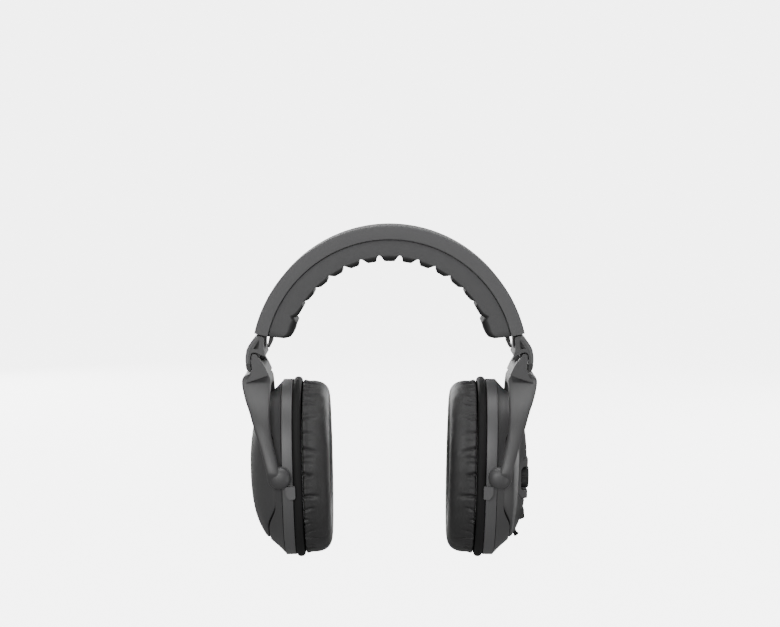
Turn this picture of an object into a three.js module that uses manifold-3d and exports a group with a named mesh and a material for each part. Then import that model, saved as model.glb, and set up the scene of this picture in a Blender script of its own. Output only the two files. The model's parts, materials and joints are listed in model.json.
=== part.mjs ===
// Radio headphones: a padded band over the head, a sliding and folding bracket at each end of it,
// a stirrup yoke that holds each oval ear cup between two pivots, an AM/FM radio in the right cup
// and its battery cells in the left one.
// Millimetres. +Z is up, the wearer faces -Y, and X runs from ear to ear. The origin is the middle
// of the flat underside of the band's centre tooth, where the band rests on the head.
// Left and right are as seen from the front, with the right cup at +X. Each side is drawn once with
// X pointing away from the head, and the left side is its mirror image.

import * as THREE from "three";
import { mergeVertices } from "three/addons/utils/BufferGeometryUtils.js";
import Module from "manifold-3d";

const wasm = await Module();
wasm.setup();

// ---- driving dimensions ----

const GAP = 0.3; // left between pieces that touch

const ARCH_Z = -63.3; // height of the band's centre of curvature
const TOOTH_R = 63.3; // tips of the pad's teeth
const SEAM_R = 76.7; // where pad and cover meet
const BAND_R = 85.3; // outside of the cover
const BAND_END = 77; // degrees from the crown to each end of the band
const BAND_DEPTH = 40; // along Y
const PAD_DEPTH = 38.6;
const SPRING = { inner: 77.2, outer: 78.0, depth: 30 };
const TOOTH_PITCH = 9.8; // degrees
const TEETH_A_SIDE = 6; // besides the centre tooth

const SLIDE_LEAN = 20; // degrees between the sliding direction and the vertical
const TONGUE = { offset: 80.1, up: 20, down: 13, thickness: 1.4, depth: 24 };
const BRACKET_DEPTH = 39;

const FOLD_PIN = { x: 83.0, z: -58.6, r: 1.0, length: 34 };
const LUG = { r: 2.6, depth: 27.6 };
const KNUCKLE = { depth: 40, cavity: 28.2, floor: -63.6 };

const PIVOT = { x: 66.5, z: -129.5 }; // the axis that the cup tilts about, along Y
const PIVOT_PIN = { r: 2.2, from: 36.5, to: 47.4 };
const PIN_ROOM = 0.15; // between a pin and its bore
const YOKE_BOSS = { r: 6.6, from: 43.3, to: 49.6 };
const SOCKET = { r: 5.0, from: 33.5, to: 42.8 };
const CUP_LEAN = 1.15; // degrees that the foot of each cup leans towards the other

// Inside the cup x is measured from the pivot axis, away from the head.
const OVAL = { ratio: 0.77, power: 2.3, steps: 32 }; // width over height of a section
const SEAM_X = 9.2; // cap to shell
const RING = { x0: -7.75, x1: -1.85, outer: 54.8, inner: 47.6 };
const FLANGE = { x0: -13.1, x1: -8.05, outer: 56.2, inner: 41.5 };
const CUSHION = { x0: -30.2, x1: -13.4, outer: 54.6, inner: 31 };
const BAFFLE = { x0: -7.5, x1: -5.5, outer: 47.2, hole: 18.4 };
const CAP_WALL = 2.2;
const LOW_DOME = 0.76; // the right cap's dome is this much of the left one's height
const SPINE_WIDTH = 25;
const DOOR = { height: 43, width: 29 };
const BEZEL = { z: -6.1, height: 25, flat: 16.5, width: 27, x0: 11, x1: 19.9 };
const KNOB = { r: 6.9, x0: 12.6, x1: 20.6 };
const BUTTON = { top: -24.9, bottom: -32, width: 16 };
const JACK = { x: 12.4, y: -4, z: -40.2, r: 1.8, lean: 37 };

const rad = THREE.MathUtils.degToRad;

// ---- finishes ----

const finish = (color, roughness, metalness = 0) =>
  new THREE.MeshStandardMaterial({ color, roughness, metalness });
const satinPlastic = finish(0x2b2c2e, 0.5);
const rimPlastic = finish(0x3c3d3f, 0.45);
const blackPlastic = finish(0x101011, 0.6);
const bandCloth = finish(0x3a3b3d, 0.85);
const padCloth = finish(0x333436, 0.9);
const leatherette = finish(0x252628, 0.55);
const softRubber = finish(0x0d0d0e, 0.8);
const foam = finish(0x1a1a1b, 1.0);
const steel = finish(0xa8aaad, 0.3, 1.0);
const magnetMetal = finish(0x77797c, 0.35, 1.0);
const boardGreen = finish(0x1d4a2c, 0.6);
const ferrite = finish(0x2a2624, 0.7);
const cellWrap = finish(0x4c4e52, 0.4);

// ---- solids ----

// The geometry as a manifold solid with its faces turned out.
function solid(geometry) {
  const bare = new THREE.BufferGeometry();
  bare.setAttribute("position", geometry.getAttribute("position").clone());
  bare.setIndex(geometry.index);
  const merged = mergeVertices(bare, 1e-4);
  const triVerts = new Uint32Array(merged.index.array);
  const make = () =>
    new wasm.Manifold(
      new wasm.Mesh({ numProp: 3, vertProperties: merged.attributes.position.array, triVerts }),
    );
  const made = make();
  if (made.volume() > 0) return made;
  for (let i = 0; i < triVerts.length; i += 3)
    [triVerts[i + 1], triVerts[i + 2]] = [triVerts[i + 2], triVerts[i + 1]];
  return make();
}

function geometryOf(shape) {
  const { vertProperties, triVerts } = shape.getMesh();
  const geometry = new THREE.BufferGeometry();
  geometry.setAttribute("position", new THREE.BufferAttribute(vertProperties, 3));
  geometry.setIndex(new THREE.BufferAttribute(triVerts, 1));
  return geometry;
}

const join = (first, ...rest) => rest.reduce((a, b) => a.add(b), first);
const cut = (first, ...rest) => rest.reduce((a, b) => a.subtract(b), first);

// A flat outline, as a list of points, drawn out to a depth.
function extrude(outline, depth) {
  const shape = new THREE.Shape(outline.map(([across, up]) => new THREE.Vector2(across, up)));
  return new THREE.ExtrudeGeometry(shape, { depth, bevelEnabled: false });
}

// An outline in X and Z with its depth along Y, centred on the band.
const slab = (outline, depth) =>
  solid(extrude(outline, depth).rotateX(Math.PI / 2).translate(0, depth / 2, 0));

// An outline in Y and Z with its depth along X, from x0 to x1.
const plate = (outline, x0, x1) =>
  solid(extrude(outline, x1 - x0).rotateX(Math.PI / 2).rotateZ(Math.PI / 2).translate(x0, 0, 0));

function block(x0, x1, y0, y1, z0, z1) {
  const geometry = new THREE.BoxGeometry(x1 - x0, Math.abs(y1 - y0), z1 - z0);
  return solid(geometry.translate((x0 + x1) / 2, (y0 + y1) / 2, (z0 + z1) / 2));
}

// Rods along each axis, given by their ends and their place across it.
function rodY(r, y0, y1, x, z, sides = 12) {
  const geometry = new THREE.CylinderGeometry(r, r, Math.abs(y1 - y0), sides);
  return solid(geometry.translate(x, (y0 + y1) / 2, z));
}

function rodX(r, x0, x1, y, z, sides = 16) {
  const geometry = new THREE.CylinderGeometry(r, r, x1 - x0, sides).rotateZ(Math.PI / 2);
  return solid(geometry.translate((x0 + x1) / 2, y, z));
}

function rodZ(r, z0, z1, x, y, sides = 12) {
  const geometry = new THREE.CylinderGeometry(r, r, z1 - z0, sides).rotateX(Math.PI / 2);
  return solid(geometry.translate(x, y, (z0 + z1) / 2));
}

// A body turned about X: its profile is a list of [x, radius].
function turned(profile, y = 0, z = 0, sides = 20) {
  const geometry = new THREE.LatheGeometry(profile.map(([x, r]) => new THREE.Vector2(r, x)), sides);
  return solid(geometry.rotateZ(-Math.PI / 2).translate(0, y, z));
}

// The same with oval sections: the radius is the half height, and each section is the
// superellipse |y / (ratio r)|^power + |z / r|^power = 1.
function oval(profile) {
  const geometry = new THREE.LatheGeometry(profile.map(([x, r]) => new THREE.Vector2(r, x)), OVAL.steps);
  geometry.rotateZ(-Math.PI / 2);
  const place = geometry.getAttribute("position");
  for (let i = 0; i < place.count; i++) {
    const radius = Math.hypot(place.getY(i), place.getZ(i));
    if (radius < 1e-6) continue;
    const across = Math.abs(place.getY(i)) / radius;
    const up = Math.abs(place.getZ(i)) / radius;
    const reach = (across ** OVAL.power + up ** OVAL.power) ** (-1 / OVAL.power);
    place.setY(i, place.getY(i) * reach * OVAL.ratio);
    place.setZ(i, place.getZ(i) * reach);
  }
  return solid(geometry);
}

const ovalRing = ({ x0, x1, outer, inner }) =>
  oval([[x0, inner], [x0, outer], [x1, outer], [x1, inner], [x0, inner]]);
const ovalPlate = (x0, x1, outer) => oval([[x0, 0], [x0, outer], [x1, outer], [x1, 0]]);

// ---- headband ----

const onArch = (degrees, radius) => [
  radius * Math.sin(rad(degrees)),
  ARCH_Z + radius * Math.cos(rad(degrees)),
];

// The points of an arc from one angle to another, about every 3.5 degrees.
function arc(radius, from, to) {
  const steps = Math.round(Math.abs(to - from) / 3.5);
  return Array.from({ length: steps + 1 }, (_, i) => onArch(from + ((to - from) * i) / steps, radius));
}

const archStrip = (inner, outer, end, depth) =>
  slab([...arc(outer, -end, end), ...arc(inner, end, -end)], depth);

// The straight channel in the band's end, and the tongue that slides in it, are boxes along the
// sliding direction at a fixed distance from the centre of curvature.
function alongSlide(thickness, depth, up, down, side = 1) {
  const box = new THREE.BoxGeometry(thickness, depth, up + down);
  box.translate(TONGUE.offset, 0, (up - down) / 2).rotateY(-rad(SLIDE_LEAN)).translate(0, 0, ARCH_Z);
  return solid(side > 0 ? box : box.scale(-1, 1, 1));
}

function headbandCover() {
  const channel = archStrip(SEAM_R - 1, SPRING.outer + GAP, BAND_END + 1, SPRING.depth + 2 * GAP);
  const slots = [1, -1].map((side) => alongSlide(2.0, TONGUE.depth + 0.8, TONGUE.up + 1, 16, side));
  return cut(archStrip(SEAM_R + GAP / 2, BAND_R, BAND_END, BAND_DEPTH), channel, ...slots);
}

// One tooth and the valley after it, as [degrees past the tooth's middle, height of the tip].
function toothPoints(index) {
  const depth = 3.9 - 0.3 * index;
  const middle = index * TOOTH_PITCH;
  const valley = TOOTH_R + depth;
  return [
    onArch(middle - 4.1, valley - 0.7),
    onArch(middle - 3.1, TOOTH_R + 0.1),
    onArch(middle + 3.1, TOOTH_R + 0.1),
    onArch(middle + 4.1, valley - 0.7),
    onArch(middle + 4.9, valley),
  ];
}

function headbandPad() {
  const right = [];
  for (let i = 1; i <= TEETH_A_SIDE; i++) right.push(...toothPoints(i));
  right.push([56.6, -37.6], [58.1, -41.2], [58.6, -43.8], [60.6, -46.8], [64.4, -47.9], [71.8, -46.9]);
  const half = [[3.5, 0], [4.4, 2.9], onArch(4.9, TOOTH_R + 3.9), ...right];
  const under = [...half.map(([x, z]) => [-x, z]).reverse(), ...half];
  return slab([...under, ...arc(SEAM_R - GAP / 2, BAND_END, -BAND_END)], PAD_DEPTH);
}

// A thin tongue that hangs from the band's end and covers the mouth of the slider channel.
const endTab = () =>
  slab([[72.4, -47.4], [74.2, -47.4], [74.8, -50.6], [75.6, -53.4], [74.7, -53.9], [73.2, -50.9]], 18);

// ---- slider bracket and fold hinge ----

function sliderBracket() {
  const body = [
    [77.0, -46.5], [81.0, -45.5], [83.7, -48.0], [86.1, -51.2], [87.6, -54.2], [88.3, -58.5],
    [88.4, -62.9], [87.9, -65.3], [86.4, -66.7], [85.6, -66.0], [85.6, -58.2], [85.0, -56.4],
    [83.4, -55.7], [81.6, -56.2], [78.4, -57.7], [76.3, -58.9], [77.4, -52.4],
  ];
  const window = [[80.0, -48.0], [83.7, -53.6], [80.5, -53.9]];
  const { x, z, r } = FOLD_PIN;
  const lug = join(
    rodY(LUG.r, -LUG.depth / 2, LUG.depth / 2, x, z),
    block(x - 2.2, x + 2.2, -LUG.depth / 2, LUG.depth / 2, z, z + 4),
  );
  const whole = join(
    cut(slab(body, BRACKET_DEPTH), slab(window, BRACKET_DEPTH + 2)),
    alongSlide(TONGUE.thickness, TONGUE.depth, TONGUE.up, TONGUE.down),
    lug,
  );
  return cut(whole, rodY(r + PIN_ROOM, -BRACKET_DEPTH, BRACKET_DEPTH, x, z));
}

const foldPin = () => rodY(FOLD_PIN.r, -FOLD_PIN.length / 2, FOLD_PIN.length / 2, FOLD_PIN.x, FOLD_PIN.z);

// ---- yoke ----

function knuckle() {
  const { x, z, r, length } = FOLD_PIN;
  const top = Array.from({ length: 7 }, (_, i) => rad(180 - i * 30)).map((a) => [
    x + 1.9 * Math.cos(a),
    z + 1.9 * Math.sin(a),
  ]);
  const foot = [[85.1, -67.2], [85.8, -69.7], [88.0, -74.2], [74.7, -70.0], [76.3, -65.3], [78.7, -61.2]];
  const cavity = block(70, 90, -KNUCKLE.cavity / 2, KNUCKLE.cavity / 2, KNUCKLE.floor, -50);
  const hole = rodY(r + PIN_ROOM, -length / 2 - GAP, length / 2 + GAP, x, z);
  return cut(slab([...top, ...foot], KNUCKLE.depth), cavity, hole);
}

// Both arms and the crossbar: their front outline and their side outline, extruded and intersected.
function stirrup() {
  const front = [
    [73.0, -69.0], [74.7, -69.6], [88.4, -69.6], [90.4, -71.4], [90.9, -75.3], [88.6, -83.3],
    [85.3, -91.3], [82.2, -100.5], [78.9, -110.0], [75.8, -120.5], [74.0, -129.5], [72.4, -134.2],
    [69.5, -136.4], [66.5, -131.0], [67.3, -126.5], [69.1, -117.5], [71.2, -108.0], [72.8, -93.0],
    [73.0, -78.0],
  ];
  const outer = [
    [17.5, -69.5], [19.5, -73.0], [26.0, -79.0], [34.0, -88.0], [40.5, -98.0], [45.0, -110.0],
    [47.8, -122.0], [48.8, -130.0], [48.2, -137.5],
  ];
  const inner = [
    [44.2, -137.5], [44.3, -130.0], [43.4, -122.0], [40.6, -111.5], [36.3, -101.0], [30.5, -91.6],
    [23.0, -83.0], [14.0, -77.4],
  ];
  const half = [...outer, ...inner];
  const side = [...half, ...half.map(([y, z]) => [-y, z]).reverse()];
  return slab(front, 120).intersect(plate(side, 60, 100));
}

const bothEnds = (make) => [-1, 1].map(make);

function yoke() {
  const { from, to, r } = YOKE_BOSS;
  const bosses = bothEnds((end) => rodY(r, from * end, to * end, PIVOT.x, PIVOT.z, 20));
  const bores = bothEnds((end) =>
    rodY(PIVOT_PIN.r + PIN_ROOM, 30 * end, (PIVOT_PIN.to + GAP) * end, PIVOT.x, PIVOT.z),
  );
  return cut(join(knuckle(), stirrup(), ...bosses), ...bores);
}

const pivotPin = (end) => rodY(PIVOT_PIN.r, PIVOT_PIN.from * end, PIVOT_PIN.to * end, PIVOT.x, PIVOT.z);

// ---- ear cup, measured from its pivot axis ----

// The cap's crown in section, as [x, half height] from its rim to its apex.
const CROWN = [
  [SEAM_X + GAP, 44.0], [10.6, 42.8], [13.0, 39.0], [15.4, 34.0], [17.2, 29.0], [18.4, 24.0],
  [19.3, 18.0], [19.9, 12.0], [20.2, 6.0], [20.3, 0],
];

// The crown as a solid, its height scaled and its wall taken off.
function dome(scale, wall = 0) {
  const crown = CROWN.map(([x, r]) => [SEAM_X + (x - SEAM_X) * scale - wall, Math.max(r - wall * 0.8, 0)]);
  const base = SEAM_X + GAP - (wall ? 4 : 0);
  return oval([[base, 0], [base, crown[0][1]], ...crown.filter(([x]) => x > base)]);
}

function cupShell() {
  const profile = [
    [3.2, 0], [3.2, 40.0], [SEAM_X, 41.6], [SEAM_X, 44.2], [6.3, 47.0], [0.2, 52.3],
    [RING.x1 + GAP, 54.2], [RING.x1 + GAP, 50.0], [1.0, 47.0], [1.0, 0],
  ];
  const sockets = bothEnds((end) => rodY(SOCKET.r, SOCKET.from * end, SOCKET.to * end, 0, 0, 16));
  const bores = bothEnds((end) =>
    rodY(PIVOT_PIN.r + PIN_ROOM, (PIVOT_PIN.from - GAP) * end, 60 * end, 0, 0),
  );
  return cut(join(oval(profile), ...sockets), ...bores);
}

function doorway(grow) {
  const [w, h] = [DOOR.width / 2 + grow, DOOR.height / 2 + grow];
  return block(12, 30, -w, w, -h, h);
}

const leftCap = () => cut(dome(1), dome(1, CAP_WALL), doorway(GAP));
const batteryDoor = () => cut(dome(1), dome(1, CAP_WALL)).intersect(doorway(0));

// The bezel's outline in Y and Z: a long hexagon with its two ends cut square.
function bezelOutline(grow) {
  const { z, height, flat, width } = BEZEL;
  const [h, f, w] = [height / 2 + grow, flat / 2 + grow / 2, width / 2 + grow];
  const right = [[w / 3, z + h], [w, z + f], [w, z - f], [w / 3, z - h]];
  return [...right, ...right.map(([y, up]) => [-y, up]).reverse()];
}

// The outline of the mode button in X and Z: a wedge whose foot stands out of the cap.
const buttonOutline = (grow) => [
  [13.4 - 4 * grow, BUTTON.top + grow], [17.9 + 4 * grow, BUTTON.top + grow],
  [18.2 + 4 * grow, -31.0 - grow], [15.6, BUTTON.bottom - grow], [13.4 - 4 * grow, BUTTON.bottom - grow],
];

// A rod square to the cap's lower edge, where the jack is.
function jackRod(r, length) {
  const rod = new THREE.CylinderGeometry(r, r, length, 12).rotateX(Math.PI / 2);
  return solid(rod.rotateY(-rad(JACK.lean)).translate(JACK.x, JACK.y, JACK.z));
}

function rightCap() {
  const spine = dome(1).intersect(block(0, 40, -SPINE_WIDTH / 2, SPINE_WIDTH / 2, -60, 60));
  const half = BUTTON.width / 2 + GAP;
  return cut(
    join(dome(LOW_DOME), spine),
    dome(LOW_DOME, CAP_WALL),
    plate(bezelOutline(GAP), 0, 40),
    slab(buttonOutline(GAP), 2 * half),
    block(0, 16, -half, half, BUTTON.bottom - GAP, BUTTON.top + GAP),
    jackRod(JACK.r + GAP, 12),
  );
}

function controlBezel() {
  const { z, x0, x1 } = BEZEL;
  return cut(plate(bezelOutline(0), x0, x1), rodX(KNOB.r + GAP, 0, 40, 0, z, 24));
}

function volumeKnob() {
  const { r, x0, x1 } = KNOB;
  return turned([[x0, 0], [x0, r], [x1 - 0.8, r], [x1, r - 1.0], [x1, 0]], 0, BEZEL.z, 24);
}

function cupRing() {
  const notches = bothEnds((end) => rodY(SOCKET.r + GAP, 30 * end, 60 * end, 0, 0, 16));
  const lugs = bothEnds((end) => block(RING.x0, -4.2, 40 * end, 44.2 * end, -12.6, -6.4));
  return cut(join(ovalRing(RING), ...lugs), ...notches);
}

function cushionRing() {
  const { x0, x1, outer, inner } = FLANGE;
  const edge = 1.4;
  return oval([
    [x0, inner], [x0, outer - edge], [x0 + edge, outer], [x1 - edge, outer], [x1, outer - edge],
    [x1, inner], [x0, inner],
  ]);
}

function earCushion() {
  const { x0, x1, outer, inner } = CUSHION;
  return oval([
    [x0, inner + 8], [x0, outer - 7], [x0 + 2, outer - 2.4], [x0 + 6, outer], [x1, outer],
    [x1, inner], [x0 + 6, inner], [x0 + 2, inner + 2.4], [x0, inner + 8],
  ]);
}

const SCREWS = [[0, 32], [-21, -20], [21, -20]]; // the baffle's, in Y and Z

function baffle() {
  const { x0, x1, outer, hole } = BAFFLE;
  const holes = SCREWS.map(([y, z]) => rodX(1.7, -20, 20, y, z, 10));
  return cut(ovalPlate(x0, x1, outer), rodX(hole, -20, 20, 0, 0, 24), ...holes);
}

const baffleScrew = (y, z) =>
  turned([[-8.0, 0], [-8.0, 2.6], [-7.8, 2.6], [-7.8, 1.4], [0.6, 1.4], [0.6, 0]], y, z, 10);

const speakerDriver = () =>
  turned([[-7.4, 0], [-7.4, 18.0], [-5.2, 18.0], [-5.2, 16.6], [-2.4, 11.0], [-2.4, 0]], 0, 0, 24);
const speakerMagnet = () => turned([[-2.1, 0], [-2.1, 10.0], [0.5, 10.0], [0.5, 0]], 0, 0, 20);

// ---- assembly ----

function part(name, shape, material) {
  const mesh = new THREE.Mesh(geometryOf(shape), material);
  mesh.name = name;
  return mesh;
}

const headphones = new THREE.Group();
headphones.add(
  part("headband_cover", headbandCover(), bandCloth),
  part("headband_spring", archStrip(SPRING.inner, SPRING.outer, BAND_END - 0.6, SPRING.depth), steel),
  part("headband_pad", headbandPad(), padCloth),
);

for (const side of ["left", "right"]) {
  const arm = new THREE.Group();
  if (side === "left") arm.scale.x = -1;
  arm.add(
    part(side + "_end_tab", endTab(), blackPlastic),
    part(side + "_slider_bracket", sliderBracket(), satinPlastic),
    part(side + "_fold_pin", foldPin(), steel),
    part(side + "_yoke", yoke(), satinPlastic),
    part(side + "_front_pivot_pin", pivotPin(-1), steel),
    part(side + "_rear_pivot_pin", pivotPin(1), steel),
  );

  const cup = new THREE.Group();
  cup.position.set(PIVOT.x, 0, PIVOT.z);
  cup.rotation.y = rad(CUP_LEAN);
  cup.add(
    part(side + "_cup_shell", cupShell(), satinPlastic),
    part(side + "_cup_ring", cupRing(), rimPlastic),
    part(side + "_cushion_ring", cushionRing(), softRubber),
    part(side + "_ear_cushion", earCushion(), leatherette),
    part(side + "_baffle", baffle(), blackPlastic),
    part(side + "_speaker_driver", speakerDriver(), blackPlastic),
    part(side + "_speaker_magnet", speakerMagnet(), magnetMetal),
    part(side + "_foam_pad", ovalPlate(-11.6, -8.4, 41.0), foam),
    part(side + "_ear_scrim", ovalPlate(-12.6, -11.9, 41.0), padCloth),
  );
  SCREWS.forEach(([y, z], i) => cup.add(part(side + "_baffle_screw_" + (i + 1), baffleScrew(y, z), steel)));

  if (side === "right") {
    cup.add(
      part("right_outer_cap", rightCap(), satinPlastic),
      part("control_bezel", controlBezel(), rimPlastic),
      part("volume_knob", volumeKnob(), blackPlastic),
      part("volume_control", rodX(5, 5.6, 12.2, 0, BEZEL.z), steel),
      part("mode_button", slab(buttonOutline(0), BUTTON.width), blackPlastic),
      part("mode_switch", block(5.6, 12.2, -3, 3, -31.5, -25.5), blackPlastic),
      part("circuit_board", block(3.8, 5.3, -18, 18, -30, 26), boardGreen),
      part("ferrite_antenna", rodZ(3, 10, 30, 9.2, 0), ferrite),
      part("jack_plug", jackRod(JACK.r, 5), softRubber),
    );
  } else {
    cup.add(
      part("left_outer_cap", leftCap(), satinPlastic),
      part("battery_door", batteryDoor(), satinPlastic),
      part("battery_cell_1", rodZ(5.1, -20.5, 20.5, 9.4, -6), cellWrap),
      part("battery_cell_2", rodZ(5.1, -20.5, 20.5, 9.4, 6), cellWrap),
      part("upper_contact", block(5, 13.4, -11, 11, 21, 21.8), steel),
      part("lower_contact", block(5, 13.4, -11, 11, -21.8, -21), steel),
    );
  }
  arm.add(cup);
  headphones.add(arm);
}

export default headphones;
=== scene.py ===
import json

import bmesh
import bpy
import mathutils
import numpy as np
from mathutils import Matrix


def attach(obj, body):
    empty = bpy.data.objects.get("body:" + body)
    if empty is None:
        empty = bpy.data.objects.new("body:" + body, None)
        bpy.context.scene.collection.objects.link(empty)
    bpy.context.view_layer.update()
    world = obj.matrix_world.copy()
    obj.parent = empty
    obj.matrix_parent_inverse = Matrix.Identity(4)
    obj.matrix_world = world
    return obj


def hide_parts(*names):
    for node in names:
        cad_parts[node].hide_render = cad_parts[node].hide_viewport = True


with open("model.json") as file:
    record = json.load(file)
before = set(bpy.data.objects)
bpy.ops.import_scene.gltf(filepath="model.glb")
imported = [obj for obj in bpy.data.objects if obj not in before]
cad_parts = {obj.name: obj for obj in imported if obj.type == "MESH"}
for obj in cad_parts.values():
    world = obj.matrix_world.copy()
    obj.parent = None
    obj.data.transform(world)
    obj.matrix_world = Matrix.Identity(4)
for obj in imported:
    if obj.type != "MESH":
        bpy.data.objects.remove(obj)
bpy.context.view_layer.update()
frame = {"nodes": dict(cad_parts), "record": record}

# ---- camera, floor and lights ----
# A set of radio headphones, seen from straight in front and a little above, in a white studio:
# a pale floor well below the cups, and large soft lamps in front, above, low at the right and
# behind both sides. The studio walls only fill the background.

camera = bpy.data.objects.new("camera", bpy.data.cameras.new("camera"))
camera.data.lens = 96
camera.data.sensor_width = 36
camera.location = (0.0003, -1.2909, 0.0727)
camera.rotation_euler = (np.radians(90 - 4.7), 0, 0)
bpy.context.scene.collection.objects.link(camera)
bpy.context.scene.camera = camera

white = bpy.data.worlds.new("white_studio")
white.use_nodes = True
white.node_tree.nodes["Background"].inputs["Color"].default_value = (1, 1, 1, 1)
white.node_tree.nodes["Background"].inputs["Strength"].default_value = 0.35
bpy.context.scene.world = white


def softbox(name, place, turn, size, power):
    """A rectangular area lamp at a place, turned by Euler angles in degrees."""
    lamp = bpy.data.objects.new(name, bpy.data.lights.new(name, "AREA"))
    lamp.data.shape = "RECTANGLE"
    lamp.data.size, lamp.data.size_y = size
    lamp.data.energy = power
    lamp.location = place
    lamp.rotation_euler = np.radians(turn)
    lamp.visible_camera = False
    bpy.context.scene.collection.objects.link(lamp)


softbox("front_lamp", (-0.35, -1.65, 0.30), (80, 0, -12), (0.8, 0.6), 20)
softbox("top_lamp", (0, -0.1, 1.1), (0, 0, 0), (1.2, 0.9), 14)
softbox("low_lamp", (1.1, -0.75, -0.45), (109, 0, 56), (0.6, 0.6), 3.5)
softbox("left_lamp", (-0.75, 1.45, 0.45), (75, 0, -153), (0.8, 1.2), 22)
softbox("right_lamp", (1.0, 1.2, 0.35), (77, 0, 140), (0.7, 1.2), 20)

glow = bpy.data.materials.new("pale_studio")
glow.use_nodes = True
paint = glow.node_tree.nodes["Principled BSDF"].inputs
paint["Base Color"].default_value = (0.6, 0.6, 0.6, 1)
paint["Roughness"].default_value = 0.9
paint["Emission Color"].default_value = (1, 1, 1, 1)
paint["Emission Strength"].default_value = 5.0


def studio_wall(name, points, faces):
    """A pale surface that the camera sees, and that takes no part in lighting the headphones."""
    mesh = bpy.data.meshes.new(name)
    mesh.from_pydata(points, [], faces)
    mesh.materials.append(glow)
    wall = bpy.data.objects.new(name, mesh)
    wall.visible_diffuse = wall.visible_glossy = wall.visible_transmission = False
    wall.visible_shadow = False
    bpy.context.scene.collection.objects.link(wall)


FLOOR, FLOOR_HALF = -0.26, 9
DRUM_R, DRUM_TOP = 8.5, 8
corners = (-1, -1), (1, -1), (1, 1), (-1, 1)
floor_corners = [(x * FLOOR_HALF, y * FLOOR_HALF, FLOOR) for x, y in corners]
studio_wall("floor", floor_corners, [(0, 1, 2, 3)])
around, ring = np.radians(np.arange(0, 360, 15)), 24
drum = [(DRUM_R * np.cos(a), DRUM_R * np.sin(a), z) for z in (FLOOR, DRUM_TOP) for a in around]
sides = [(i, (i + 1) % ring, (i + 1) % ring + ring, i + ring) for i in range(ring)]
studio_wall("backdrop", drum, [*sides, tuple(range(2 * ring - 1, ring - 1, -1))])

# ---- headband cover ----
# The strap over the head, a leathercloth sleeve pressed over sprung steel, with crisp front and back
# edges. At each end it is cut square to its curve, and a narrow slot takes the slider's tongue.

MM = 0.001
ARCH_Z = -63.3  # height of the band's centre of curvature
SEAM_R, BAND_R = 76.7, 85.3
BAND_END = 77  # degrees from the crown
BAND_HALF = 20.0  # half the depth, front to back
SLIDE_LEAN = np.radians(20)
SLIDE_DIR = np.array([np.sin(SLIDE_LEAN), 0, -np.cos(SLIDE_LEAN)])  # down the slider
SLIDE_START = np.array([80.1 * np.cos(SLIDE_LEAN), 0, ARCH_Z + 80.1 * np.sin(SLIDE_LEAN)])


def finished(name, mesh, sharp=38, shade=None):
    """The mesh as an object, with doubles merged, faces turned out, and edges sharper than the
    given degrees kept crisp. Shade, a value of painted shade for each point, is kept as an attribute."""
    if shade is not None:
        mesh.attributes.new("painted_shade", "FLOAT", "POINT").data.foreach_set("value", shade.ravel())
    work = bmesh.new()
    work.from_mesh(mesh)
    bmesh.ops.remove_doubles(work, verts=work.verts, dist=2e-6)
    bmesh.ops.recalc_face_normals(work, faces=work.faces)
    work.to_mesh(mesh)
    work.free()
    mesh.polygons.foreach_set("use_smooth", np.ones(len(mesh.polygons), bool))
    mesh.set_sharp_from_angle(angle=np.radians(sharp))
    piece = bpy.data.objects.new(name, mesh)
    bpy.context.scene.collection.objects.link(piece)
    return piece


def skin(name, rows, ends="flat", sharp=38, shade=None):
    """A surface through rows of points in mm, each row a closed loop. The ends are one flat face each,
    or nothing where the last row joins the first ("ring") or the rows shrink to a point ("point")."""
    rows = np.asarray(rows, float)
    count, around = rows.shape[:2]
    index = np.arange(count * around).reshape(count, around)
    if ends == "ring":
        index = np.vstack([index, index[:1]])
    here, there = index[:-1], index[1:]
    quads = np.stack([here, np.roll(here, -1, 1), np.roll(there, -1, 1), there], -1).reshape(-1, 4)
    faces = quads.tolist()
    if ends == "flat":
        faces += [index[0][::-1].tolist(), index[-1].tolist()]
    mesh = bpy.data.meshes.new(name)
    mesh.from_pydata((rows.reshape(-1, 3) * MM).tolist(), [], faces)
    return finished(name, mesh, sharp, shade)


def rounded(outline, radius, steps=5):
    """The closed outline with each corner swapped for a parabola that leaves and meets its two edges
    the given distance from the corner, or 45% of the shorter edge where that is less."""
    corner = np.asarray(outline, float)
    back, on = np.roll(corner, 1, 0) - corner, np.roll(corner, -1, 0) - corner
    long_back, long_on = np.linalg.norm(back, axis=1), np.linalg.norm(on, axis=1)
    reach = np.minimum(radius, 0.45 * np.minimum(long_back, long_on))
    start = corner + back * (reach / long_back)[:, None]
    end = corner + on * (reach / long_on)[:, None]
    t = np.linspace(0, 1, steps)[None, :, None]
    bend = (1 - t) ** 2 * start[:, None] + 2 * t * (1 - t) * corner[:, None] + t**2 * end[:, None]
    return bend.reshape(-1, 2)


def on_arch(degrees, radius, depth):
    """Points at an angle from the crown, a radius from the centre of curvature, and a depth along Y."""
    angle = np.radians(degrees)
    x, y, z = radius * np.sin(angle), depth + 0 * angle * radius, ARCH_Z + radius * np.cos(angle)
    return np.stack(np.broadcast_arrays(x, y, z), -1)


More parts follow.
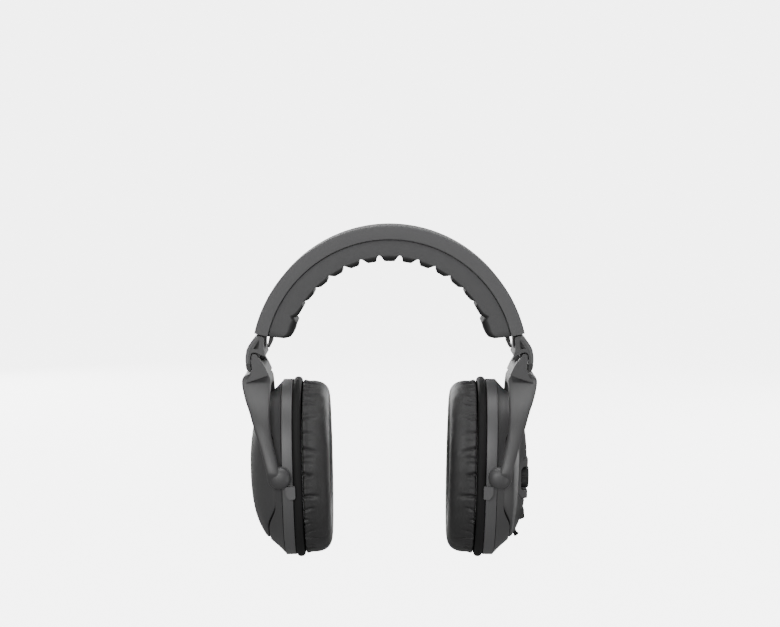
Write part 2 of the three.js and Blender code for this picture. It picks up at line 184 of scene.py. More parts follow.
class Field:
    """A number that changes over a surface, held as a node socket: + - * add Math nodes."""

    def __init__(self, finish, socket):
        self.finish, self.socket = finish, socket

    def math(self, operation, *values):
        return self.finish.add("ShaderNodeMath", {"operation": operation}, dict(enumerate(values)))

    def __add__(self, other): return self.math("ADD", self, other)
    def __radd__(self, other): return self.math("ADD", other, self)
    def __sub__(self, other): return self.math("SUBTRACT", self, other)
    def __rsub__(self, other): return self.math("SUBTRACT", other, self)
    def __mul__(self, other): return self.math("MULTIPLY", self, other)
    def __rmul__(self, other): return self.math("MULTIPLY", other, self)

    def band(self, low, high):
        """0 below low, 1 above high, and a smooth step between."""
        return self.finish.add(
            "ShaderNodeMapRange", {"interpolation_type": "SMOOTHSTEP"},
            {"Value": self, "From Min": low, "From Max": high})


class Finish:
    """A material and the nodes that feed its Principled shader."""

    def __init__(self, name, **fixed):
        self.material = bpy.data.materials.new(name)
        self.material.use_nodes = True
        self.tree = self.material.node_tree
        self.shader = self.tree.nodes["Principled BSDF"]
        for socket, value in fixed.items():
            self.shader.inputs[socket.replace("_", " ")].default_value = value
        self.place = self.add("ShaderNodeTexCoord", {}, {}, "Object")

    def feed(self, socket, value):
        if isinstance(value, Field):
            self.tree.links.new(value.socket, socket)
        else:
            socket.default_value = value

    def add(self, kind, settings, sockets, out=0):
        """A node of a type, its settings made first, then its sockets set or linked."""
        node = self.tree.nodes.new(kind)
        for setting, value in settings.items():
            setattr(node, setting, value)
        named = {s.identifier: s for s in node.inputs}
        for key, value in sockets.items():
            self.feed(node.inputs[key] if isinstance(key, int) else named[key], value)
        found = {s.identifier: s for s in node.outputs}
        return Field(self, node.outputs[out] if isinstance(out, int) else found[out])

    def noise(self, scale, detail=3.0, rough=0.5, stretch=(1, 1, 1)):
        """Cloudy noise from 0 to 1, with scale in cells to a metre."""
        spot = self.add("ShaderNodeMapping", {}, {"Vector": self.place, "Scale": stretch})
        return self.add("ShaderNodeTexNoise", {}, {
            "Vector": spot, "Scale": scale, "Detail": detail, "Roughness": rough}, "Fac")

    def cells(self, scale, feature="DISTANCE_TO_EDGE", stretch=(1, 1, 1)):
        """The distance to the nearest cell edge or cell centre, in cells."""
        spot = self.add("ShaderNodeMapping", {}, {"Vector": self.place, "Scale": stretch})
        return self.add("ShaderNodeTexVoronoi", {"feature": feature}, {
            "Vector": spot, "Scale": scale}, "Distance")

    def tint(self, share, dark, light):
        """A colour between two colours, by a share from 0 to 1."""
        return self.add("ShaderNodeMix", {"data_type": "RGBA"}, {
            "Factor_Float": share, "A_Color": (*dark, 1), "B_Color": (*light, 1)}, "Result_Color")

    def wear(self, colour, rough, height=None, depth=0.0001, strength=1.0):
        """Colour, roughness and a bump of the given depth in metres, into the shader."""
        self.feed(self.shader.inputs["Base Color"], colour)
        self.feed(self.shader.inputs["Roughness"], rough)
        if height is not None:
            bump = self.add("ShaderNodeBump", {}, {
                "Height": height, "Distance": depth, "Strength": strength}, "Normal")
            self.feed(self.shader.inputs["Normal"], bump)
        return self.material


def grey(level, warm=0.0):
    """A grey with the faint cool cast of dyed plastic, or a warm one."""
    return (level * (1 + warm), level, level * (1.02 - warm))


def dress(piece, material, body, slot, *nodes):
    """The piece takes a material, rides on a body, and stands for CAD nodes."""
    piece.data.materials.append(material)
    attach(piece, body)
    if nodes:
        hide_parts(*nodes)
    return piece


leathercloth = Finish("matte_leathercloth")
pores = leathercloth.cells(1500)
cloudy = leathercloth.noise(90)
fibre = leathercloth.noise(2600, 2)
band_cover = leathercloth.wear(
    leathercloth.tint(fibre * 0.55 + cloudy * 0.45, grey(0.064), grey(0.092)),
    0.62 + cloudy * 0.14,
    pores.band(0.0, 0.16) * 0.6 + fibre * 0.4, 0.00008, 0.5)

RIB_HALF, RIB_TOP = 15.7, 77.0  # the pad's rib, which sits in a groove under the sleeve
under, groove = SEAM_R + 0.15, RIB_TOP + 0.15
GROOVE_HALF = RIB_HALF + 0.3
section = rounded(
    [(under, -BAND_HALF), (BAND_R, -BAND_HALF), (BAND_R, BAND_HALF), (under, BAND_HALF),
     (under, GROOVE_HALF), (groove, GROOVE_HALF), (groove, -GROOVE_HALF), (under, -GROOVE_HALF)],
    np.array([0.5, 0.9, 0.9, 0.5, 0.05, 0.05, 0.05, 0.05]))
crown_lift = 0.35 * (1 - (section[:, 1] / BAND_HALF) ** 2) * (section[:, 0] > 81)
along = np.linspace(-BAND_END, BAND_END, 155)
sleeve = on_arch(along[:, None], section[:, 0] + crown_lift, section[:, 1])
toward = (section - [80.7, 0]) / [1.0, 12.4]
mouth = toward / np.abs(toward).max(1)[:, None] * [1.05, 12.4] + [80.7, 0]
slot_in = SLIDE_DIR * -29.5  # the slot runs this far up into the band
right_mouth = on_arch(BAND_END, mouth[:, 0], mouth[:, 1])
left_mouth = right_mouth * [-1, 1, 1]
rows = [left_mouth + slot_in * [-1, 1, 1], left_mouth, *sleeve, right_mouth, right_mouth + slot_in]
dress(skin("headband_sleeve", rows), band_cover, "headband", "band_cover", "headband_cover")

# ---- headband pad ----
# The pad against the head: soft foam with a moulded skin, thirteen blunt teeth across it so that it
# bends with the band, and a thicker block at each end. Its front and back edges roll under, and the
# skin is darkened there by painted shade.

PAD_HALF = 19.3
TOOTH_R = 63.3
TOOTH_PITCH = 9.8


def pad_outline():
    """The pad's underside from end to end as [angle, radius]: six teeth a side, one in the middle."""
    valleys = [67.2] + [TOOTH_R + 3.9 - 0.3 * i for i in range(1, 7)]
    tip = TOOTH_R + 0.1
    right = [(0.0, TOOTH_R), (2.85, tip), (4.3, 66.2), (5.0, 67.2)]
    for i in range(1, 7):
        middle, before, after = i * TOOTH_PITCH, valleys[i - 1], valleys[i]
        right += [(middle - 4.0, before), (middle - 3.3, before - 0.7), (middle - 2.4, tip),
                  (middle + 2.2, tip), (middle + 4.4, after - 0.8), (middle + 5.1, after)]
    block_end = np.array([
        [56.6, -37.6], [58.1, -41.2], [58.9, -44.2], [60.9, -46.6], [64.4, -47.6], [71.8, -46.9]])
    across, up = block_end[:, 0], block_end[:, 1] - ARCH_Z
    right += list(zip(np.degrees(np.arctan2(across, up)), np.hypot(across, up)))
    half = np.array(right)
    return np.vstack([half[:0:-1] * [-1, 1], half])


def even(line, step):
    """An open line of points resampled at even steps along its length."""
    run = np.r_[0, np.cumsum(np.linalg.norm(np.diff(line, axis=0), axis=1))]
    at = np.linspace(0, run[-1], int(run[-1] / step) + 1)
    return np.stack([np.interp(at, run, line[:, k]) for k in range(line.shape[1])], 1)


def smoothed(line, passes):
    """Each point drawn half way to the middle of its neighbours, so many times over."""
    line = line.copy()
    for _ in range(passes):
        line[1:-1] = line[1:-1] / 2 + (line[:-2] + line[2:]) / 4
    return line


ARC_R = 66  # the angle is taken as an arc length at this radius, so that steps are even
outline = pad_outline() * [np.radians(1) * ARC_R, 1]
outline = smoothed(even(outline, 0.3), 4)
angle, lip = np.degrees(outline[:, 0] / ARC_R), outline[:, 1]
near_end = np.clip((np.abs(angle) - 58) / 8, 0, 1)
valley_line = (67.35 - 0.031 * np.abs(angle)) * (1 - near_end) + (lip + 4.2) * near_end
fold_from = np.maximum(valley_line, lip + 0.35)
tuck = np.minimum(3.6, (fold_from - lip) * 0.86)
end_tuck = 3.0 * (1 - np.sqrt(1 - np.clip((np.abs(angle) - 73.6) / 3.6, 0, 1) ** 2))
turn = np.linspace(0, 1, 8)
inward = fold_from[:, None] + (lip - fold_from)[:, None] * np.sin(turn * np.pi / 2)
sideways = PAD_HALF - end_tuck[:, None] - tuck[:, None] * (1 - np.cos(turn * np.pi / 2))
seam_edge = np.full((len(lip), 1), SEAM_R - 0.15)
seam_turn = [0.7, 0.25, 0.0]
rib = np.full((len(lip), 2), 1.0) * [RIB_TOP, SEAM_R - 0.15]
radius = np.hstack([rib, seam_edge, seam_edge - 0.12, seam_edge - 0.5, inward])
rib_side = np.minimum(RIB_HALF, PAD_HALF - end_tuck[:, None] - 1.0)
seam_sides = [PAD_HALF - end_tuck[:, None] - t for t in seam_turn]
depth = np.hstack([rib_side, rib_side, *seam_sides, sideways])
radius = np.hstack([radius, radius[:, ::-1]])
depth = np.hstack([depth, -depth[:, ::-1]])
# Painted shade: the skin's colour goes to near black across each rolled-under edge, more where the tuck
# is deeper.
painted_shade = np.hstack([np.zeros(5), np.sin(np.clip(turn * 1.08, 0, 1) * np.pi) ** 0.4])
painted_shade = np.minimum(painted_shade, 1)[None] * np.clip((fold_from - lip)[:, None] / 1.6, 0.35, 1)
painted_shade = np.hstack([painted_shade, painted_shade[:, ::-1]])
skinned = Finish("skinned_foam")
pits = skinned.cells(2300, "F1")
mottle = skinned.noise(140)
speck = skinned.noise(3100, 2)
# The skin's grey is mixed towards near black by that painted shade.
shaded = skinned.add("ShaderNodeAttribute", {"attribute_name": "painted_shade"}, {}, "Fac")
band_pad = skinned.wear(
    skinned.tint(shaded, grey(0.062), grey(0.005)),
    0.72 + mottle * 0.12, pits * 0.5 + speck * 0.5, 0.00009, 0.55)
pad = skin("headband_pad_skin", on_arch(angle[:, None], radius, depth), sharp=50, shade=painted_shade)
dress(pad, band_pad, "headband", "band_pad", "headband_pad")

# ---- end tabs ----
# A thin black tongue that hangs from each end of the band, over the mouth of the slider.


def slab(name, outline, half, bevel=0.35, holes=(), sharp=38):
    """A flat outline in X and Z drawn out along Y to a half depth each way, with any holes through it.
    Its long edges get a small round."""
    loops = [np.asarray(outline, float), *(np.asarray(hole, float) for hole in holes)]
    tris = mathutils.geometry.tessellate_polygon(
        [[mathutils.Vector((x, z, 0)) for x, z in loop] for loop in loops])
    flat = np.vstack(loops)
    count = len(flat)
    front = np.insert(flat, 1, -half, axis=1)
    back = np.insert(flat, 1, half, axis=1)
    faces = [list(t) for t in tris] + [[i + count for i in t[::-1]] for t in tris]
    at = 0
    for loop in loops:
        here = np.arange(at, at + len(loop))
        on = np.roll(here, -1)
        faces += np.stack([here, on, on + count, here + count], 1).tolist()
        at += len(loop)
    mesh = bpy.data.meshes.new(name)
    mesh.from_pydata((np.vstack([front, back]) * MM).tolist(), [], faces)
    piece = finished(name, mesh, sharp)
    if bevel:
        soften(piece, bevel)
    return piece


def move_points(piece, placed):
    """Puts the piece's points, in mm, through a function."""
    at = np.empty(len(piece.data.vertices) * 3)
    piece.data.vertices.foreach_get("co", at)
    piece.data.vertices.foreach_set("co", (placed(at.reshape(-1, 3) / MM) * MM).ravel())


def soften(piece, width):
    """Rounds the piece's sharp edges by a width in mm."""
    bevel = piece.modifiers.new("edge", "BEVEL")
    bevel.width, bevel.segments, bevel.limit_method = width * MM, 2, "ANGLE"
    bevel.angle_limit = np.radians(40)


moulded = Finish("black_moulded_plastic")
spark = moulded.noise(1900, 3)
drift = moulded.noise(60)
black_plastic = moulded.wear(
    moulded.tint(drift, grey(0.010), grey(0.016)), 0.42 + spark * 0.16, spark, 0.00003, 0.5)
SIDES = (("left", -1), ("right", 1))
TAB = [(72.2, -47.2), (74.5, -47.2), (75.1, -50.6), (75.8, -53.4), (74.3, -54.1), (72.8, -50.9)]
for side, sign in SIDES:
    tab = slab(side + "_end_tab_skin", rounded(TAB, 0.4) * [sign, 1], 9, 0.2)
    dress(tab, black_plastic, "headband", "black_plastic", side + "_end_tab")

# ---- slider brackets ----
# A moulded bracket slides out of each end of the band on a flat tongue. It has an outer curved strip
# ending in a foot, an inner leg with a window between them, and a lug that the knuckle hinges on.
# The window is closed by a black sheet as painted shade.

satin = Finish("satin_plastic")
grain = satin.noise(2300, 2.5, 0.6)
haze = satin.noise(38, 2)
scuff = satin.noise(240, 5, 0.7, (1, 1, 0.25)).band(0.60, 0.78)
satin_plastic = satin.wear(
    satin.tint(haze * 0.8 + scuff * 0.2, grey(0.040), grey(0.054)),
    0.40 + grain * 0.10 + haze * 0.06 - scuff * 0.05, grain, 0.00004, 0.45)
rimmed = Finish("lighter_satin_plastic")
rim_grain = rimmed.noise(2200, 2.5, 0.6)
rim_haze = rimmed.noise(45, 2)
rim_plastic = rimmed.wear(
    rimmed.tint(rim_haze, grey(0.061), grey(0.076)), 0.42 + rim_grain * 0.1, rim_grain, 0.00004, 0.45)
FOLD_PIN = (83.0, -58.6)
BRACKET = [
    (77.0, -46.5), (81.0, -45.5), (83.7, -48.0), (86.1, -51.2), (87.6, -54.2), (88.3, -58.5),
    (88.4, -62.9), (87.9, -65.3), (86.4, -66.7), (85.6, -66.0), (85.6, -58.2), (85.0, -56.4),
    (83.4, -55.7), (81.6, -56.2), (78.4, -57.7), (76.3, -58.9), (77.4, -52.4)]
WINDOW = [(80.0, -48.0), (83.7, -53.6), (80.5, -53.9)]


def circle(x, z, radius, start=0, end=360, steps=33):
    """Points on a circle in X and Z, from one angle in degrees to another."""
    turn = np.radians(np.linspace(start, end, steps))[: steps - (abs(end - start) == 360)]
    return np.stack([x + radius * np.cos(turn), z + radius * np.sin(turn)], 1)


def tongue_outline():
    """The slider's tongue in section: a strip along the sliding direction, with its ends rounded."""
    half, up, down = 0.7, 20, 13
    strip = rounded([(-half, up), (half, up), (half, -down), (-half, -down)], 0.5)
    down_dir, out_dir = SLIDE_DIR[[0, 2]], -SLIDE_DIR[[2, 0]] * [1, -1]
    return SLIDE_START[[0, 2]] + strip[:, :1] * out_dir - strip[:, 1:] * down_dir


STRIP = [(81.2, -45.2), (84.0, -47.8), (86.4, -51.1), (87.9, -54.1), (88.6, -58.5), (88.6, -62.6),
         (86.7, -62.7), (86.6, -58.5), (86.0, -55.0), (84.6, -52.2), (82.4, -49.2), (80.2, -47.0)]
STOP = [(85.5, -62.9), (88.5, -62.8), (88.2, -65.8), (86.9, -67.9), (85.6, -68.4), (85.2, -66.4)]
lug = np.vstack([circle(*FOLD_PIN, 2.6, 180, 360, 17), [(85.2, -54.9), (80.8, -54.9)]])
for side, sign in SIDES:
    body = side + "_slider"
    bracket = slab(side + "_bracket", rounded(BRACKET, 0.9) * [sign, 1], 19.5, 0.4,
                   [rounded(WINDOW, 0.5) * [sign, 1]])
    dress(bracket, satin_plastic, body, "satin_plastic", side + "_slider_bracket")
    strip = slab(side + "_bracket_strip", rounded(STRIP, 0.8) * [sign, 1], 19.75, 0.5)
    dress(strip, rim_plastic, body, "rim_plastic")
    # Painted shade: a black sheet set back in the window, standing in for the shade inside it.
    window_shade = slab(side + "_bracket_window_shade", rounded(WINDOW, 0.5) * [sign, 1], 15.5, 0)
    dress(window_shade, black_plastic, body, "black_plastic")
    stop = slab(side + "_fold_stop", rounded(STOP, 0.6) * [sign, 1], 19.6, 0.3)
    dress(stop, black_plastic, body, "black_plastic")
    tongue = slab(side + "_bracket_tongue", tongue_outline() * [sign, 1], 12, 0.2)
    dress(tongue, black_plastic, body, "black_plastic")
    hinge_lug = slab(side + "_bracket_lug", lug * [sign, 1], 13.8, 0.3)
    dress(hinge_lug, satin_plastic, body, "satin_plastic")

# ---- yokes ----
# A stirrup in one satin moulding: a knuckle with two cheeks round the bracket's lug, a crossbar under
# it, and a front and a rear arm that narrow to a domed boss over the cup's pivot. Behind each boss
# the cup has a round socket.

PIVOT = (66.5, -129.5)
KNUCKLE_HALF, CAVITY_HALF, CAVITY_FLOOR = 20.4, 14.1, -63.6


def knuckle(name, sign):
    """The knuckle's outline at six stations across its depth. Between the cheeks it is cut off at
    the cavity's floor, by lowering each point that is above it."""
    foot = [(85.0, -67.2), (85.8, -70.2), (88.4, -74.8), (74.2, -70.0), (76.3, -65.3), (78.7, -61.2)]
    whole = np.vstack([circle(*FOLD_PIN, 1.9, 180, 0, 13), rounded(foot, 0.5, 4)])
    low = np.minimum(whole, [1e3, CAVITY_FLOOR])
    stations = [-KNUCKLE_HALF, -CAVITY_HALF, -CAVITY_HALF, CAVITY_HALF, CAVITY_HALF, KNUCKLE_HALF]
    outlines = [whole, whole, low, low, whole, whole]
    rows = [np.insert(o * [sign, 1], 1, y, axis=1) for o, y in zip(outlines, stations)]
    return skin(name, rows)


def through(points, count):
    """A smooth curve through the points (Catmull-Rom), with the given number of points in all."""
    p = np.asarray(points, float)
    p = np.vstack([2 * p[0] - p[1], p, 2 * p[-1] - p[-2]])
    at = np.linspace(0, len(p) - 3 - 1e-9, count)
    i, t = at.astype(int), (at % 1)[:, None]
    a, b, c, d = p[i], p[i + 1], p[i + 2], p[i + 3]
    return b + t / 2 * (c - a + t * (2 * a - 5 * b + 4 * c - d + t * (3 * (b - c) + d - a)))


OUTER_SIDE = [(0, -69.5), (9, -69.5), (15.6, -70.2), (18.3, -73.8), (24.9, -79.6), (33.6, -88.2),
              (40.3, -98), (44.9, -110), (48.0, -119.5), (49.2, -125), (48.9, -128.2),
              (46.6, -132.6), (45.2, -136.4)]
INNER_SIDE = [(0, -77.4), (8, -77.4), (13.4, -77.8), (17.2, -79.8), (23, -83.6), (30.5, -91.8),
              (36.3, -101), (40.6, -111.5), (43.2, -120.5), (43.9, -126), (43.9, -129.5),
              (43.7, -132.8), (43.6, -136.4)]
FRONT_INNER = [(74.7, -69.5), (73.3, -73), (73.0, -78), (72.9, -85), (72.8, -93), (72.1, -101),
               (70.9, -108), (68.5, -117.5), (66.9, -124), (66.1, -128), (66.2, -131.5), (67.3, -134.6),
               (69.0, -136.5)]
FRONT_OUTER = [(87.6, -69.5), (90.2, -71.4), (90.9, -75.3), (88.6, -83.3), (85.3, -91.3),
               (82.2, -100.5), (78.9, -110), (75.8, -120.5), (74.3, -127), (73.9, -130.5),
               (73.2, -133.2), (71.6, -135.4), (69.6, -136.5)]


def stirrup(name, sign, edge=1.3, swell=0.7):
    """A rounded four-sided section carried down both arms from the crossbar's middle. Its two faces
    lie on the outer and inner side curves, and its width at each height on the front curves."""
    outer, inner = through(OUTER_SIDE, 130), through(INNER_SIDE, 130)
    outer = np.vstack([outer[:0:-1] * [-1, 1], outer])
    inner = np.vstack([inner[:0:-1] * [-1, 1], inner])
    left, right = through(FRONT_INNER, 200), through(FRONT_OUTER, 200)
    turn = np.radians(np.linspace(0, 90, 5))
    cos, sin = np.cos(turn), np.sin(turn)
    face = np.linspace(-1, 1, 7)[1:-1]
    flat = np.zeros(5)
    one = np.ones(5)
    corner_a = np.r_[one, face * 0, -one, -one, face * 0, one]  # which side of the section, across
    corner_b = np.r_[one, one, one, -one, -one, -one]
    round_a = np.r_[cos, flat, -cos[::-1], -cos, flat, cos[::-1]]
    round_b = np.r_[sin, one, sin[::-1], -sin, -one, -sin[::-1]]
    slide = np.r_[flat, -face, flat, flat, face, flat]
    centre = (outer + inner) / 2
    half_thick = np.linalg.norm(outer - inner, axis=1, keepdims=True) / 2
    aim = (outer - inner) / (2 * half_thick)
    round_r = np.minimum(edge, half_thick * 0.75)
    across_b = corner_b * (half_thick - round_r) + round_b * round_r
    yz = centre[:, None] + aim[:, None] * across_b[..., None]
    up = yz[..., 1]
    low = np.interp(-up, -left[:, 1], left[:, 0])
    high = np.interp(-up, -right[:, 1], right[:, 0])
    half_wide = (high - low) / 2
    tight = np.minimum(round_r, half_wide * 0.9)
    across_a = corner_a * (half_wide - tight) + round_a * tight + slide * (half_wide - tight)
    bulge = swell * np.clip(1 - (across_a / np.maximum(half_wide, 0.1)) ** 2, 0, 1) * (corner_b > 0)
    yz = yz + aim[:, None] * (bulge * np.clip(half_wide / 4, 0, 1))[..., None]
    x = (low + high) / 2 + across_a
    rows = np.stack([x * sign, yz[..., 0], yz[..., 1]], -1)
    return skin(name, rows, sharp=60)


def turned(name, profile, axis_point, sign=1, steps=48):
    """A profile of [distance out along Y, radius] turned about an axis along Y."""
    profile = np.asarray(profile, float)
    turn = np.radians(np.arange(0, 360, 360 / steps))
    out, radius = profile[:, :1], profile[:, 1:]
    x = axis_point[0] + radius * np.cos(turn)
    z = axis_point[1] + radius * np.sin(turn)
    return skin(name, np.stack(np.broadcast_arrays(x, out * sign, z), -1), "point", 50)


BOSS = [(43.3, 0), (43.3, 5.8), (43.6, 6.4), (44.2, 6.7), (46.0, 6.75), (46.9, 6.6), (47.8, 6.1),
        (48.6, 5.2), (49.15, 4.1), (49.5, 2.8), (49.65, 1.4), (49.7, 0)]
SOCKET = [(35.0, 2.3), (35.0, 4.8), (42.2, 4.8), (42.7, 4.3), (42.7, 2.3)]  # on the cup, round the pin
for side, sign in SIDES:
    body = side + "_yoke_arm"
    wedge = knuckle(side + "_knuckle", sign)
    soften(wedge, 0.35)
    dress(wedge, satin_plastic, body, "satin_plastic")
    arms = stirrup(side + "_stirrup", sign)
    dress(arms, satin_plastic, body, "satin_plastic", side + "_yoke")
    for end, way in (("front", -1), ("rear", 1)):
        boss = turned(f"{side}_{end}_boss", BOSS, (sign * PIVOT[0], PIVOT[1]), way)
        dress(boss, satin_plastic, body, "satin_plastic")
        socket = turned(f"{side}_{end}_socket", SOCKET, (sign * PIVOT[0], PIVOT[1]), way)
        dress(socket, satin_plastic, side + "_cup", "satin_plastic")

# ---- cup shells ----
# Each cup's body: a satin shell between the rim ring and the outer cap. Its sections are tall ovals,
# and its seam with the cap dips towards the head in the middle of the front and the back. A black
# strip in the rubber finish lies behind that seam as painted shade, and shows through the gap.

CUP_LEAN = np.radians(1.15)
OVAL_RATIO, OVAL_POWER = 0.77, 2.3
ENVELOPE = np.array([
    (-0.8, 53.9), (0.2, 52.8), (3.2, 49.7), (6.3, 47.0), (9.3, 44.2), (10.8, 42.7), (13.0, 39.2),
    (15.4, 34.2), (17.2, 29.0), (18.4, 24.0), (19.3, 18.0), (19.9, 12.0), (20.2, 6.0), (20.3, 0.0)])
profile = through(ENVELOPE, 240)
PROFILE_RUN = np.r_[0, np.cumsum(np.linalg.norm(np.diff(profile, axis=0), axis=1))]
PROFILE_RUN = PROFILE_RUN / PROFILE_RUN[-1]
PROFILE_X, PROFILE_H = np.maximum.accumulate(profile[:, 0]), profile[:, 1]


def oval(phi):
    """The unit oval in Y and Z at angles from the top: a superellipse narrower than it is tall."""
    across, up = np.sin(phi), np.cos(phi)
    reach = (np.abs(across) ** OVAL_POWER + np.abs(up) ** OVAL_POWER) ** (-1 / OVAL_POWER)
    return np.stack([OVAL_RATIO * across * reach, up * reach], -1)


def oval_height(y, z):
    """The half height of the oval that passes through a point."""
    return (np.abs(y / OVAL_RATIO) ** OVAL_POWER + np.abs(z) ** OVAL_POWER) ** (1 / OVAL_POWER)


def in_cup(points, sign):
    """Points measured from the pivot with X out of the head, brought into the frame on one side."""
    x, y, z = np.moveaxis(np.asarray(points, float), -1, 0)
    across = PIVOT[0] + x * np.cos(CUP_LEAN) + z * np.sin(CUP_LEAN)
    up = PIVOT[1] - x * np.sin(CUP_LEAN) + z * np.cos(CUP_LEAN)
    return np.stack([sign * across, y, up], -1)


def oval_rows(x, height, phi):
    """One oval row for each x and half height; either may also change with the angle."""
    x, height = np.broadcast_arrays(x, height)
    if x.ndim == 1:
        x, height = x[:, None] + 0 * phi, height[:, None] + 0 * phi
    yz = oval(phi)[None] * height[..., None]
    return np.concatenate([x[..., None], yz], -1)


def seam_at(phi):
    """How far out the seam between shell and cap is, at each angle round the cup."""
    share = np.clip((0.78 - np.abs(oval(phi)[:, 1])) / 0.46, 0, 1)
    return 9.2 - 5.4 * share**2 * (3 - 2 * share)


PHI = np.radians(np.arange(0, 360, 2.0))
SEAM_RUN = np.interp(seam_at(PHI), PROFILE_X, PROFILE_RUN)


def envelope_rows(run, inset):
    """Oval rows at shares of the profile's length, set in from the surface by mm along its normal."""
    slope_x = np.gradient(PROFILE_X, PROFILE_RUN)
    slope_h = np.gradient(PROFILE_H, PROFILE_RUN)
    size = np.hypot(slope_x, slope_h)
    normal_x = np.interp(run, PROFILE_RUN, -slope_h / size)
    normal_h = np.interp(run, PROFILE_RUN, slope_x / size)
    x = np.interp(run, PROFILE_RUN, PROFILE_X) - inset * normal_x
    height = np.interp(run, PROFILE_RUN, PROFILE_H) - inset * normal_h
    return oval_rows(x, np.maximum(height, 0), PHI)


MM_RUN = 0.0165  # a millimetre along the profile, as a share of its length
lip_back = np.array([0.30, 0.42, 0.80]) * MM_RUN
# The gap between shell and cap is 0.6 mm in the middle of the front and the back, and opens to
# 2 mm above and below it.
low_seam = np.clip((np.abs(oval(PHI)[:, 1]) - 0.36) / 0.12, 0, 1) * 0.75 * MM_RUN
SEAM_RUN = SEAM_RUN - low_seam
rubber = Finish("soft_black_rubber", Specular_IOR_Level=0.22)
dust = rubber.noise(700, 4)
soft_rubber = rubber.wear(
    rubber.tint(dust, grey(0.005), grey(0.010)), 0.62 + dust * 0.2, dust, 0.00004, 0.4)
seam_bed = np.array([[-2.6], [3.4], [3.4], [-2.6]]) * MM_RUN
seam_depth = np.array([[1.9], [1.9], [2.6], [2.6]])
# Painted shade: a black strip behind the seam, which shows through the gap as its shade.
for side, sign in SIDES:
    bed_rows = envelope_rows(SEAM_RUN + seam_bed, seam_depth + 0 * PHI)
    bed = skin(side + "_seam_shade_strip", in_cup(bed_rows, sign), "ring", 50)
    dress(bed, soft_rubber, side + "_cup", "soft_rubber")
    share = np.linspace(0, 1, 16)[:, None]
    outside = share * (SEAM_RUN - lip_back[2])
    run = np.vstack([outside[1:], SEAM_RUN - lip_back[1], SEAM_RUN - lip_back[0]])
    inset = np.vstack([np.zeros((15, 1)), [[0.30]], [[1.6]]]) + 0 * PHI
    skirt = envelope_rows(run, inset)
    rim = oval_rows(
        np.array([3.4, 3.2, -0.5, -0.8, -0.8]), np.array([0.0, 40.0, 49.0, 50.0, 53.85]), PHI)
    shell = skin(side + "_cup_body", in_cup(np.vstack([rim, skirt]), sign), "point", 50)
    dress(shell, satin_plastic, side + "_cup", "satin_plastic", side + "_cup_shell")

# ---- outer caps ----
# The left cap is a smooth crown with the battery door let into it. The right one is lower, with a
# raised spine down its middle for the controls, whose long edges are chamfered.

CAP_SEAM = SEAM_RUN + 0.30 * MM_RUN + 1.9 * low_seam


def rectangle_towards(phi, half_wide, half_tall, corner, shift=0.0):
    """The point of a rounded rectangle in Y and Z in each direction from its middle."""
    power = 2 + 10 / corner
    across, up = np.sin(phi) / half_wide, np.cos(phi) / half_tall
    reach = (np.abs(across) ** power + np.abs(up) ** power) ** (-1 / power)
    return np.stack([np.sin(phi) * reach, np.cos(phi) * reach + shift], -1)


def left_crown(y, z):
    """How far out the left cap's surface is, over a point in Y and Z."""
    return np.interp(oval_height(y, z), PROFILE_H[::-1], PROFILE_X[::-1])


def right_crown(y, z):
    """The right cap's surface: a low crown, with a high one down its middle and a chamfer between."""
    whole = left_crown(y, z)
    step = np.clip((13.9 - np.abs(y)) / 6.4, 0, 1)
    height = 0.44 + (0.90 - 0.44) * step
    return np.where(whole > 9.2, 9.2 + (whole - 9.2) * height, whole)


def cap_rows(crown, hole, gap, wall=1.9):
    """A shell with an opening: its rows go from the seam over the crown to the hole's edge, down that
    edge, and back under the crown. Each edge turns in with a small round."""
    start = envelope_rows(CAP_SEAM[None] + np.array([[0.0]]), np.zeros((1, 1)) + 0 * PHI)[0, :, 1:]
    share = np.r_[0.0, 0.012, 0.035, np.linspace(0.08, 0.93, 26), 0.975, 0.993, 1.0]
    drop = np.r_[0.9, 0.22, 0.0, np.zeros(26), 0.0, 0.14, 0.6]
    edge = hole * (1 + gap / np.hypot(*hole.T)[:, None])
    yz = start[None] * (1 - share[:, None, None]) + edge[None] * share[:, None, None]
    top = crown(yz[..., 0], yz[..., 1]) - drop[:, None]
    upper = np.concatenate([top[..., None], yz], -1)
    lower = upper[::-1][3:-3:3].copy()
    lower[..., 0] -= wall
    inner_edge = upper[-1:].copy()
    inner_edge[..., 0] -= wall - 0.5
    outer_edge = upper[:1] * [1, 0.985, 0.985] - [0.6, 0, 0]
    return np.concatenate([outer_edge, upper, inner_edge, lower])


DOOR_HALF = (14.5, 21.5)
door_edge = rectangle_towards(PHI, *DOOR_HALF, 1.2)
left_cap = skin("left_crowned_cap", in_cup(cap_rows(left_crown, door_edge, 0.3), -1), "ring", 45)
dress(left_cap, satin_plastic, "left_cup", "satin_plastic", "left_outer_cap")

BEZEL_Z = -6.1  # the bezel's middle, from the pivot
BEZEL = [(9.0, 12.5), (13.5, 8.25), (13.5, -8.25), (9.0, -12.5),
         (-9.0, -12.5), (-13.5, -8.25), (-13.5, 8.25), (-9.0, 12.5)]


def outline_towards(outline, phi):
    """The point of a closed outline round (0, 0) in each direction from it, found along its edges."""
    fine = even(np.vstack([outline, outline[:1]]), 0.05)
    bearing = np.arctan2(fine[:, 0], fine[:, 1]) % (2 * np.pi)
    order = np.argsort(bearing)
    size = np.interp(phi, bearing[order], np.hypot(*fine[order].T), period=2 * np.pi)
    return np.stack([size * np.sin(phi), size * np.cos(phi)], -1)


bezel_line = outline_towards(rounded(BEZEL, 1.0), PHI)
right_cap = skin(
    "right_crowned_cap", in_cup(cap_rows(right_crown, bezel_line + [0, BEZEL_Z], 0.55), 1), "ring", 32)
dress(right_cap, satin_plastic, "right_cup", "satin_plastic", "right_outer_cap")

# ---- battery door ----
# A hinged door that carries on the left cap's crown, with a shallow finger groove near its top edge.

